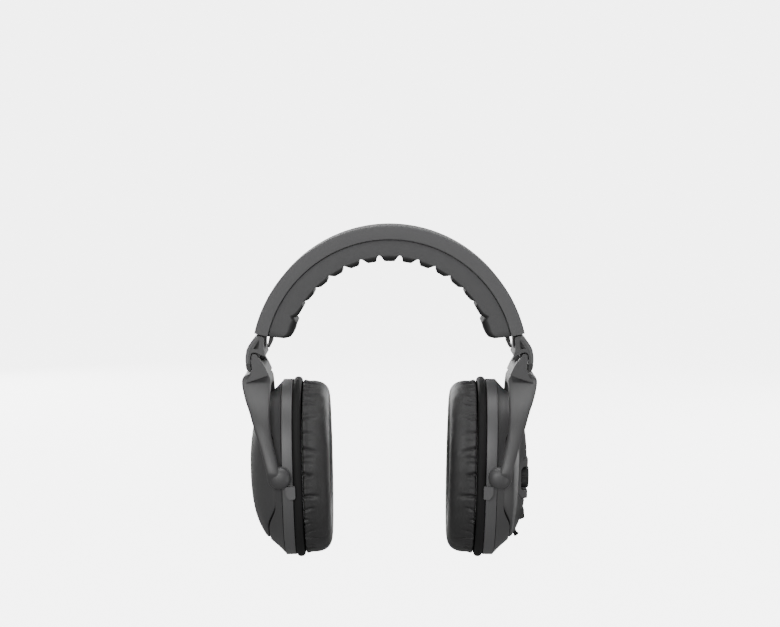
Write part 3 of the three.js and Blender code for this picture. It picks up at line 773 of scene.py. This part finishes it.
share = np.r_[1.0, 1.0, 0.99, 0.965, np.linspace(0.92, 0.0, 18)][:, None, None]
yz = door_edge[None] * share
groove = 0.7 * np.exp(-(((yz[..., 1] - 15.5) / 1.7) ** 4)) * np.exp(-((yz[..., 0] / 6.5) ** 6))
drop = np.r_[1.9, 0.6, 0.14, np.zeros(19)][:, None] + groove
door_top = np.concatenate([(left_crown(yz[..., 0], yz[..., 1]) - drop)[..., None], yz], -1)
door_under = door_top[::-1][::3].copy()
door_under[..., 0] = left_crown(door_under[..., 1], door_under[..., 2]) - 1.95
door_under[..., 1:] *= 0.98
door = skin("left_door", in_cup(np.concatenate([door_under[:-1], door_top]), -1), "point", 50)
dress(door, satin_plastic, "battery_door", "satin_plastic", "battery_door")

# ---- controls ----
# On the right cap's spine: a bezel with cut corners round a fluted volume knob, a wedge-shaped mode
# button below it, and a soft rubber plug in the jack near the cap's lower edge.


KNOB_WELL = [(4.0, 7.4), (8.8, 7.4), (10.6, 5.6), (10.6, -5.6), (8.8, -7.4),
             (-8.8, -7.4), (-10.6, -5.6), (-10.6, 5.6), (-8.8, 7.4), (-4.0, 7.4)]
WELL_X = (11.8, 13.6)  # the well's floor, from its back to its face


def bezel_rows():
    """From the well's foot up its wall, over the bezel, and down its outer edge: the bezel is flat in
    the middle and slopes away to the front and the back."""
    well = outline_towards(rounded(KNOB_WELL, 0.5), PHI)
    share = np.r_[0.0, 0.0, 0.0, 0.05, 0.12, np.linspace(0.2, 0.85, 9), 0.95, 1.0, 1.0, 1.0, 0.5]
    yz = well[None] * (1 - share[:, None, None]) + bezel_line[None] * share[:, None, None]
    top = 19.9 - 0.86 * np.clip(np.abs(yz[..., 0]) - 5.6, 0, None)
    drop = np.r_[0.0, 0.0, 0.35, 0.08, 0.0, np.zeros(9), 0.0, 0.3, 0.9, 0.0, 0.0]
    rise = top - drop[:, None]
    rise[[0, -2, -1]] = 11.6
    rise[1] = 12.4
    return np.concatenate([rise[..., None], yz + [0, BEZEL_Z]], -1)


bezel = skin("right_bezel", in_cup(bezel_rows(), 1), "ring", 30)
dress(bezel, rim_plastic, "right_cup", "satin_plastic", "control_bezel")
floor_at = [sum(WELL_X) / 2, 0, BEZEL_Z]
well_floor = slab("right_knob_well", rounded(KNOB_WELL, 0.5), (WELL_X[1] - WELL_X[0]) / 2, 0)
move_points(well_floor, lambda points: in_cup(points[:, [1, 0, 2]] + floor_at, 1))
dress(well_floor, black_plastic, "right_cup", "black_plastic")


def knob_rows(flutes=28):
    """The knob turned about X, its side cut by shallow flutes and its top dished."""
    turn = np.radians(np.arange(0, 360, 2.5))
    rise = np.array([
        13.9, 13.9, 14.2, 14.9, 16.5, 18.5, 19.9, 20.35, 20.55, 20.6, 20.5, 20.2, 20.0, 19.9, 19.85])
    size = np.array([0.0, 6.3, 6.9, 6.9, 6.9, 6.9, 6.85, 6.6, 6.2, 5.8, 5.4, 5.0, 4.4, 2.2, 0.0])
    cut = np.array([0, 0, 0, 0.3, 0.36, 0.36, 0.3, 0.12, 0, 0, 0, 0, 0, 0, 0])
    radius = size[:, None] - cut[:, None] * (0.5 + 0.5 * np.cos(flutes * turn)) ** 2
    mark = 0.35 * np.exp(-((np.sin(turn) * size[:, None] / 0.55) ** 4)) * (np.cos(turn) > 0)
    x = rise[:, None] - mark * ((size > 2) & (size < 6) & (rise > 15))[:, None]
    return np.stack([x, radius * np.sin(turn), radius * np.cos(turn) + BEZEL_Z], -1)


knob = skin("right_knob", in_cup(knob_rows(), 1), "point", 40)
dress(knob, black_plastic, "volume_knob", "black_plastic", "volume_knob")
WEDGE = [(13.4, -24.9), (17.9, -24.9), (18.35, -30.8), (15.6, -32.0), (13.4, -32.0)]
BUTTON_HALF = 8.0
button = slab("right_mode_button", rounded(WEDGE, 0.5), BUTTON_HALF, 0)
move_points(button, lambda points: in_cup(points, 1))
soften(button, 0.4)
dress(button, black_plastic, "mode_button", "black_plastic", "mode_button")

JACK, JACK_LEAN = np.array([12.4, -4.0, -40.2]), np.radians(37)


def jack_plug(name):
    """A short turned plug on the jack's axis, with a waist for the fingers."""
    out = np.array([-2.5, -2.5, 0.0, 0.6, 1.2, 1.8, 2.4, 2.75, 2.85])
    size = np.array([0.0, 1.6, 1.6, 1.3, 1.3, 1.75, 1.7, 1.2, 0.0])
    turn = np.radians(np.arange(0, 360, 15))
    axis = np.array([np.sin(JACK_LEAN), 0, -np.cos(JACK_LEAN)])
    side_way = np.array([np.cos(JACK_LEAN), 0, np.sin(JACK_LEAN)])
    ring = side_way * np.cos(turn)[:, None] + np.array([0, 1, 0]) * np.sin(turn)[:, None]
    rows = JACK + out[:, None, None] * axis + size[:, None, None] * ring
    return skin(name, in_cup(rows, 1), "point", 40)


dress(jack_plug("right_jack_plug"), soft_rubber, "right_cup", "soft_rubber", "jack_plug")

# ---- rim rings ----
# A lighter ring clamps the shell to the baffle all round the cup. Below each pivot it has a small
# square lug, the catch that the ring is prised off by.

RING_X, RING_OUT = (-7.75, -1.15), 54.8
LUG_Y = 42.6  # how far to the front or back the middle of a lug is
LUG = [(-9.2, -13.4), (-5.6, -13.6), (-3.4, -10.8), (-3.2, -5.6), (-9.2, -5.6)]
for side, sign in SIDES:
    band = rounded([(RING_X[0], 47.6), (RING_X[0], RING_OUT), (RING_X[1], RING_OUT), (RING_X[1], 47.6)],
                   np.array([0.4, 0.5, 0.7, 0.4]))
    ring = skin(side + "_rim_ring", in_cup(oval_rows(band[:, 0], band[:, 1], PHI), sign), "ring", 45)
    dress(ring, rim_plastic, side + "_cup", "rim_plastic", side + "_cup_ring")
    for end, way in (("front", -1), ("rear", 1)):
        lug_piece = slab(f"{side}_{end}_ring_lug", rounded(LUG, 0.9), 2.9, 0)
        move_points(lug_piece, lambda points: in_cup(points + [0, way * LUG_Y, 0], sign))
        if sign < 0:
            lug_piece.data.flip_normals()
        soften(lug_piece, 0.5)
        dress(lug_piece, rim_plastic, side + "_cup", "rim_plastic")

# ---- cushion rings ----
# The black ring that carries the cushion and snaps on the rim: round-edged, and a little proud of
# its neighbours.

for side, sign in SIDES:
    x_mid, x_half, top = -10.575, 2.525, 56.2
    turn = np.radians(np.linspace(0, 180, 15))
    bead = np.stack([x_mid + x_half * np.cos(turn), top - 2.3 + 2.3 * np.sin(turn) ** 0.8], 1)
    bead = np.vstack([bead, [(x_mid - x_half, 41.5), (x_mid + x_half, 41.5)]])
    bead_rows = oval_rows(bead[:, 0], bead[:, 1], PHI)
    bead_ring = skin(side + "_cushion_bead", in_cup(bead_rows, sign), "ring", 50)
    dress(bead_ring, soft_rubber, side + "_cup", "soft_rubber", side + "_cushion_ring")

# ---- ear cushions ----
# A soft foam ring in thin leatherette. The leatherette is gathered on to the cushion ring, so short
# pleats of uneven depth run in from that seam and die out across the cushion's side. Their furrows
# are darkened by painted shade.

CUSHION_X, CUSHION_OUT, CUSHION_IN = (-30.2, -13.4), 54.6, 31.0


def cushion_section(inset):
    """The cushion in section as [x, half height]: flat behind, round in front, set in all round."""
    x0, x1 = CUSHION_X[0] + inset, CUSHION_X[1] - inset * 0.35
    out, low = CUSHION_OUT - inset, CUSHION_IN + inset * 0.4
    corners = [(x1, low), (x0, low), (x0, out), (x1, CUSHION_OUT - 0.5)]
    return rounded(corners, np.array([1.5, 7.0, 8.6, 0.5]), 12)


def inflated(name, rows, most):
    """The closed form swollen by cloth pressure, no point moving further than most, in metres."""
    balloon = skin(name, rows, "ring")
    remesh = balloon.modifiers.new("voxels", "REMESH")
    remesh.mode, remesh.voxel_size = "VOXEL", 0.004
    bpy.context.view_layer.update()
    depsgraph = bpy.context.evaluated_depsgraph_get()
    balloon.data = bpy.data.meshes.new_from_object(balloon.evaluated_get(depsgraph))
    balloon.modifiers.clear()
    rest = np.empty(len(balloon.data.vertices) * 3)
    balloon.data.vertices.foreach_get("co", rest)
    sewn = balloon.vertex_groups.new(name="sewn")
    behind = np.flatnonzero(rest[0::3] > (CUSHION_X[1] - 2.2) * MM)
    sewn.add(behind.tolist(), 1.0, "REPLACE")
    cloth = balloon.modifiers.new("pressure", "CLOTH")
    cloth.settings.vertex_group_mass = "sewn"
    cloth.settings.use_pressure = True
    cloth.settings.uniform_pressure_force = 14
    cloth.settings.tension_stiffness = cloth.settings.compression_stiffness = 5
    cloth.settings.shrink_min = -0.004  # a negative shrink: the cover grows a little
    cloth.settings.effector_weights.gravity = 0
    cloth.settings.quality = 6
    scene = bpy.context.scene
    for step in range(1, 21):
        scene.frame_set(step)
    depsgraph = bpy.context.evaluated_depsgraph_get()
    swollen = bpy.data.meshes.new_from_object(balloon.evaluated_get(depsgraph))
    moved = np.empty(len(swollen.vertices) * 3)
    swollen.vertices.foreach_get("co", moved)
    move = (moved - rest).reshape(-1, 3)
    far = np.linalg.norm(move, axis=1, keepdims=True)
    move *= np.minimum(1, most / np.maximum(far, 1e-9))
    balloon.modifiers.clear()
    balloon.data = swollen
    swollen.vertices.foreach_set("co", rest + move.ravel())
    scene.frame_set(1)
    return balloon


FINE_PHI = np.radians(np.arange(0, 360, 0.5))
INSET, SWELL = 1.5, 0.005  # mm that the form is set in by, and metres that it may swell by
SMOOTHINGS = 14
HOLD_FROM, HOLD_RUN, HOLD_OVER = -18.4, 3.6, 45  # x, mm of x, and half height
smooth_section = cushion_section(INSET)
ring_section = even(np.vstack([smooth_section, smooth_section[:1]]), 0.9)[:-1]
seam_first = np.roll(ring_section, -np.argmin(np.hypot(*(ring_section - [CUSHION_X[1], 54]).T)), axis=0)
form = oval_rows(seam_first[:, 0], seam_first[:, 1], FINE_PHI)
sewn_form = form  # the plain section, which is kept beside the seam
cushion_form = skin("cushion_form", form, "ring")
coarse = oval_rows(smooth_section[::2, 0], smooth_section[::2, 1], np.radians(np.arange(0, 360, 4)))
balloon = inflated("cushion_balloon", coarse, SWELL)
wrap = cushion_form.modifiers.new("wrap", "SHRINKWRAP")
wrap.target, wrap.wrap_method, wrap.wrap_mode = balloon, "PROJECT", "ON_SURFACE"
wrap.use_negative_direction = wrap.use_positive_direction = True
bpy.context.view_layer.update()
depsgraph = bpy.context.evaluated_depsgraph_get()
wrapped = bpy.data.meshes.new_from_object(cushion_form.evaluated_get(depsgraph))
cushion_form.modifiers.clear()
cushion_form.data = wrapped
bpy.data.objects.remove(balloon)
places = np.empty(len(cushion_form.data.vertices) * 3)
cushion_form.data.vertices.foreach_get("co", places)
bpy.data.objects.remove(cushion_form)
form = (places / MM).reshape(form.shape)
for _ in range(SMOOTHINGS):  # takes away the steps left by the coarse cloth mesh
    form = form / 2 + (np.roll(form, 1, 0) + np.roll(form, -1, 0)) / 4
    form = form / 2 + (np.roll(form, 3, 1) + np.roll(form, -3, 1)) / 4
low, high = form[..., 0].min(), form[..., 0].max()
form[..., 0] = np.interp(form[..., 0], (low, high), CUSHION_X)
height = oval_height(form[..., 1], form[..., 2])
form[..., 1:] *= np.minimum(1, (CUSHION_OUT - 0.1) / height)[..., None]
outer_side = oval_height(*sewn_form[..., 1:].T).T > HOLD_OVER
hold = np.clip((sewn_form[..., :1] - HOLD_FROM) / HOLD_RUN, 0, 1) * outer_side[..., None]
form = form + (sewn_form - form) * hold**2 * (3 - 2 * hold)

draw = np.random.default_rng(7)
PLEATS = 66
pleat_at = (np.arange(PLEATS) + draw.uniform(-0.42, 0.42, PLEATS)) / PLEATS * 2 * np.pi
pleat_deep = draw.uniform(0.2, 1.0, PLEATS) ** 1.2
pleat_long = np.where(draw.random(PLEATS) < 0.4, draw.uniform(9, 14, PLEATS), draw.uniform(4, 8, PLEATS))
pleat_lean = draw.uniform(-0.10, 0.10, PLEATS)
pleat_wide = draw.uniform(0.55, 1.05, PLEATS)


def gathered(form):
    """The cushion with its pleats: each is a narrow furrow that starts at the ring seam, runs in along
    the side, leans a little, and dies out; the leatherette puffs up between one and the next. Given
    with how deep in a furrow each point is, from 0 to 1, which darkens the leatherette as painted shade."""
    height = oval_height(form[..., 1], form[..., 2])
    past = CUSHION_X[1] - form[..., 0]  # distance in from the seam
    outside = np.clip((height - 47) / 4, 0, 1)[..., None]
    arc = (FINE_PHI[None, :, None] - pleat_at + np.pi) % (2 * np.pi) - np.pi
    arc = arc * 46 - pleat_lean * past[..., None] * 3
    fade = np.clip(1 - past[..., None] / pleat_long, 0, 1) ** 0.8
    wide = pleat_wide * (0.75 + 0.5 * past[..., None] / pleat_long)
    furrow = (pleat_deep * fade * np.exp(-((arc / wide) ** 2))).sum(-1)
    between = (fade * pleat_deep * np.exp(-((np.abs(arc) - 1.9 * wide) ** 2) / (0.9 * wide**2))).sum(-1)
    ripple = np.sin(FINE_PHI * 23 + 1.3)[None] * np.sin(FINE_PHI * 9)[None] * 0.16
    tucked = 0.7 * np.exp(-((past / 0.7) ** 2))
    push = outside[..., 0] * (0.3 * between - 1.8 * furrow - tucked + ripple)
    radial = form[..., 1:] / np.maximum(np.linalg.norm(form[..., 1:], axis=-1, keepdims=True), 1e-6)
    pleated = np.concatenate([form[..., :1], form[..., 1:] + radial * push[..., None]], -1)
    return pleated, np.clip(outside[..., 0] * furrow * 1.6, 0, 1)


hide = Finish("black_leatherette")
crazed = hide.cells(1150, stretch=(1, 1, 1.25))
tiny = hide.noise(3600, 2)
broad = hide.noise(55)
creased = crazed.band(0.0, 0.13)
# Painted shade: the leatherette's colour goes to its darkest grey in the pleats' furrows, by their
# depth.
painted_furrow_shade = hide.add("ShaderNodeAttribute", {"attribute_name": "painted_shade"}, {}, "Fac")
cushion_leather = hide.wear(
    hide.tint(broad * 0.4 + creased * 0.4 - painted_furrow_shade, grey(0.010), grey(0.022)),
    0.50 + broad * 0.12 - creased * 0.06, creased * 0.75 + tiny * 0.25, 0.00012, 0.6)
for side, sign in SIDES:
    pleated, furrows = gathered(form)
    cushion = skin(side + "_gathered_cushion", in_cup(pleated, sign), "ring", 60, furrows)
    dress(cushion, cushion_leather, side + "_cup", "cushion_leather", side + "_ear_cushion")

# ---- ear linings ----
# Behind the cushion's opening lies a thin pad of open foam on the baffle, and over it a stretched
# scrim of fine black mesh cloth that keeps dust out of the driver.

open_foam = Finish("open_cell_foam")
bubbles = open_foam.cells(1400, "F1")
foam_fill = open_foam.wear(
    open_foam.tint(bubbles, grey(0.006), grey(0.020)), 0.9 + bubbles * 0.05, bubbles, 0.0004, 1.0)
mesh_cloth = Finish("scrim_mesh", Sheen_Weight=0.15)
spread = mesh_cloth.add("ShaderNodeSeparateXYZ", {}, {"Vector": mesh_cloth.place}, 1)
upward = mesh_cloth.add("ShaderNodeSeparateXYZ", {}, {"Vector": mesh_cloth.place}, 2)
warp = mesh_cloth.add("ShaderNodeMath", {"operation": "SINE"}, {0: spread * 6600})
weft = mesh_cloth.add("ShaderNodeMath", {"operation": "SINE"}, {0: upward * 6600})
threads = mesh_cloth.add("ShaderNodeMath", {"operation": "MAXIMUM"}, {0: warp, 1: weft})
scrim_cloth = mesh_cloth.wear(
    mesh_cloth.tint(threads.band(-0.2, 0.9), grey(0.004), grey(0.028)), 0.85 + threads * 0.05,
    threads, 0.0002, 0.8)
for side, sign in SIDES:
    edge = np.array([(-11.6, 0.0), (-11.7, 20.0), (-11.65, 34.0), (-11.3, 39.4), (-10.4, 40.8),
                     (-9.3, 40.6), (-8.6, 38.5), (-8.45, 20.0), (-8.4, 0.0)])
    edge = through(edge, 60)
    edge[:, 1] = np.maximum(edge[:, 1], 0)
    lining_rows = oval_rows(edge[:, 0], edge[:, 1], PHI)
    lining = skin(side + "_foam_lining", in_cup(lining_rows, sign), "point", 50)
    dress(lining, foam_fill, side + "_cup", "foam", side + "_foam_pad")
    crown = np.array([(-12.6, 0.0), (-12.65, 14.0), (-12.55, 27.0), (-12.35, 36.0), (-12.2, 41.0)])
    stretched = through(crown, 24)
    back = stretched[::-1] + [0.35, 0]
    both = np.vstack([stretched, back])
    scrim = skin(side + "_scrim", in_cup(oval_rows(both[:, 0], both[:, 1], PHI), sign), "point", 50)
    dress(scrim, scrim_cloth, side + "_cup", "scrim_cloth", side + "_ear_scrim")

# ---- inside and fastenings ----
# The parts that the covers hide: the band's spring, hinge and pivot pins, baffles with their screws,
# drivers, circuit board, ferrite rod, controls, battery cells and contacts, in their own finishes.

steel = Finish("sprung_steel", Metallic=1.0)
brushed = steel.noise(900, 3, 0.6, (1, 12, 1))
spring_steel = steel.wear(
    steel.tint(brushed, (0.38, 0.38, 0.39), (0.52, 0.52, 0.53)), 0.26 + brushed * 0.14)
plated = Finish("nickel_plated", Metallic=1.0)
tarnish = plated.noise(260, 4)
magnet_metal = plated.wear(
    plated.tint(tarnish, (0.26, 0.26, 0.27), (0.38, 0.38, 0.38)), 0.30 + tarnish * 0.18)
resist = Finish("green_solder_resist")
tracks = resist.cells(420).band(0.02, 0.06)
circuit_green = resist.wear(
    resist.tint(tracks, (0.02, 0.16, 0.06), (0.012, 0.085, 0.035)), 0.35 + tracks * 0.1, tracks, 0.00004)
ceramic = Finish("grey_ferrite")
grit = ceramic.noise(1500, 4)
ferrite = ceramic.wear(
    ceramic.tint(grit, grey(0.018, 0.06), grey(0.034, 0.06)), 0.6 + grit * 0.2, grit, 0.00005)
wrap_film = Finish("shrink_wrap")
ripples = wrap_film.noise(180, 3, 0.5, (1, 1, 0.2))
cell_wrap = wrap_film.wear(
    wrap_film.tint(ripples, grey(0.07), grey(0.10)), 0.28 + ripples * 0.12, ripples, 0.00004)
FINISHES = {
    "band_cover": band_cover, "band_pad": band_pad, "satin_plastic": satin_plastic,
    "rim_plastic": rim_plastic, "black_plastic": black_plastic, "cushion_leather": cushion_leather,
    "soft_rubber": soft_rubber, "foam": foam_fill, "scrim_cloth": scrim_cloth,
    "spring_steel": spring_steel, "magnet_metal": magnet_metal, "circuit_board": circuit_green,
    "ferrite": ferrite, "cell_wrap": cell_wrap}
blackened = Finish("blackened_steel", Metallic=1.0)
oxide = blackened.noise(800, 3)
pin_steel = blackened.wear(blackened.tint(oxide, grey(0.03), grey(0.06)), 0.38 + oxide * 0.15)
for part in frame["record"]["subparts"]:
    node = frame["nodes"][part["node"]]
    for holder in node.material_slots:
        holder.material = pin_steel if "_pin" in part["node"] else FINISHES[part["material_slot"]]
